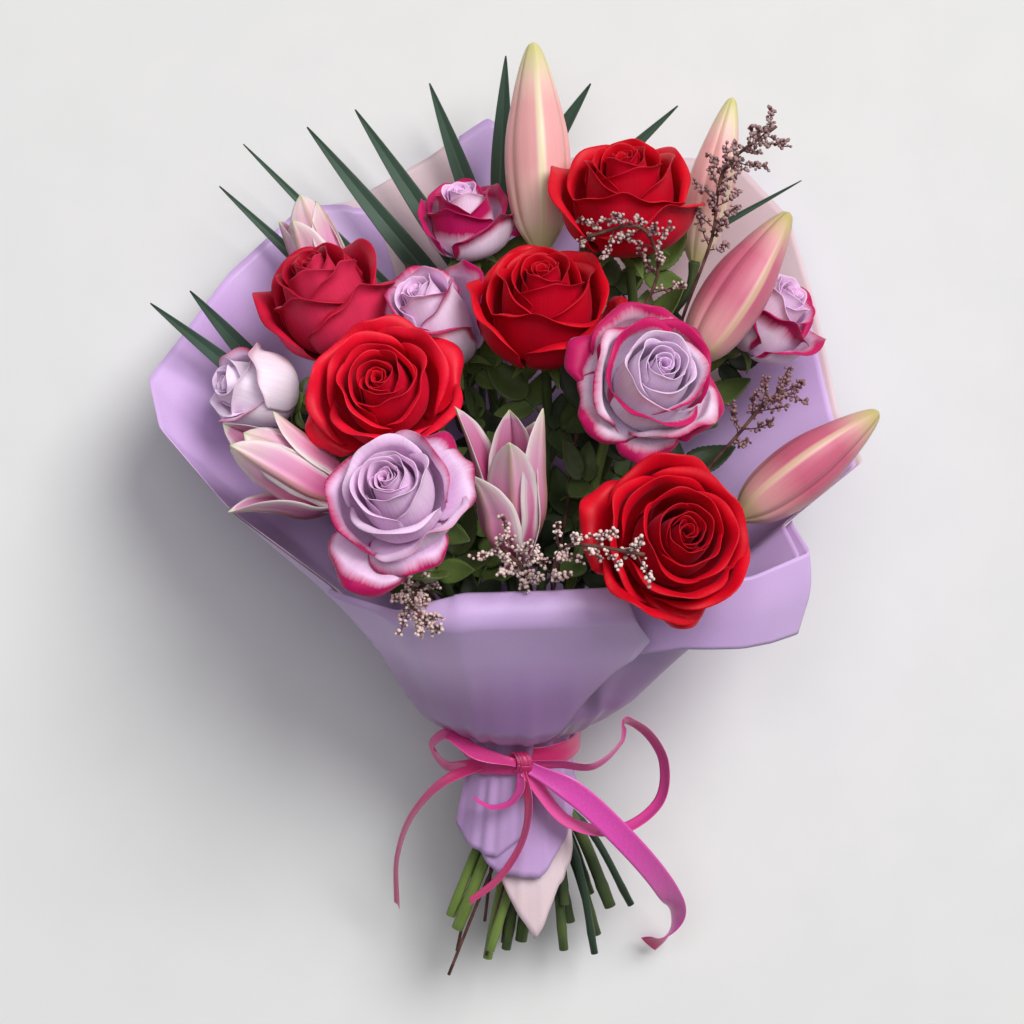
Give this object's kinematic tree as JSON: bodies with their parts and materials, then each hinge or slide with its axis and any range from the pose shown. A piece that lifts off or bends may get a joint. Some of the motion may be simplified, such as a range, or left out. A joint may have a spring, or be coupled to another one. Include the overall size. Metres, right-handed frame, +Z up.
{
  "type": "mixed flower bouquet",
  "caption": "Hand-tied bouquet of roses, lilies, palm fronds and filler sprays, wrapped in two-tone paper with a satin ribbon bow, lying on its back.",
  "frame": {"origin": "on the surface that the bouquet lies on, in the flat patch of paper under its weight", "axes": "+Y from the cut stems towards the flowers, +X to the right of someone looking down on it, +Z up"},
  "size_m": [0.3378, 0.4442, 0.2387],
  "materials": {
    "petal_red": "velvety deep red rose petal",
    "petal_lilac": "soft lilac rose petal with a magenta edge",
    "petal_lily": "waxy pink lily petal with pale green ribs",
    "stem_green": "matt green stem",
    "palm_green": "dark green palm leaf, faintly glossy",
    "spray_brown": "brownish wiry stem with small pale pink flowers",
    "paper": "smooth waterproof flower paper, lavender outside and pale pink inside",
    "satin": "pink satin ribbon",
    "twine": "natural twine"
  },
  "bodies": {
    "root": {"rose_red_left": "petal_red", "rose_red_centre": "petal_red", "rose_red_top": "petal_red", "rose_red_front": "petal_red", "rose_crimson_left": "petal_red", "rose_lilac_top": "petal_lilac", "rose_lilac_centre": "petal_lilac", "rose_lilac_right": "petal_lilac", "rose_lilac_front": "petal_lilac", "rose_lilac_left": "petal_lilac", "rose_lilac_behind": "petal_lilac", "stem_red_left": "stem_green", "stem_red_centre": "stem_green", "stem_red_top": "stem_green", "stem_red_front": "stem_green", "stem_crimson_left": "stem_green", "stem_lilac_top": "stem_green", "stem_lilac_centre": "stem_green", "stem_lilac_right": "stem_green", "stem_lilac_front": "stem_green", "stem_lilac_left": "stem_green", "stem_lilac_behind": "stem_green", "lily_bud_top": "petal_lily", "lily_bud_far": "petal_lily", "lily_bud_right": "petal_lily", "lily_bud_low": "petal_lily", "lily_open_left": "petal_lily", "lily_open_centre": "petal_lily", "lily_open_far": "petal_lily", "lily_stem_back": "stem_green", "lily_stem_right": "stem_green", "lily_stem_left": "stem_green", "lily_stem_far": "stem_green", "palm_frond_back": "palm_green", "palm_frond_left": "palm_green", "spray_top": "spray_brown", "spray_red": "spray_brown", "spray_left": "spray_brown", "spray_middle": "spray_brown", "spray_front": "spray_brown", "spray_right": "spray_brown", "paper_inner": "paper", "paper_outer": "paper", "paper_right": "paper", "paper_front": "paper", "binding_twine": "twine", "ribbon_bow": "satin"}
  },
  "joints": []
}
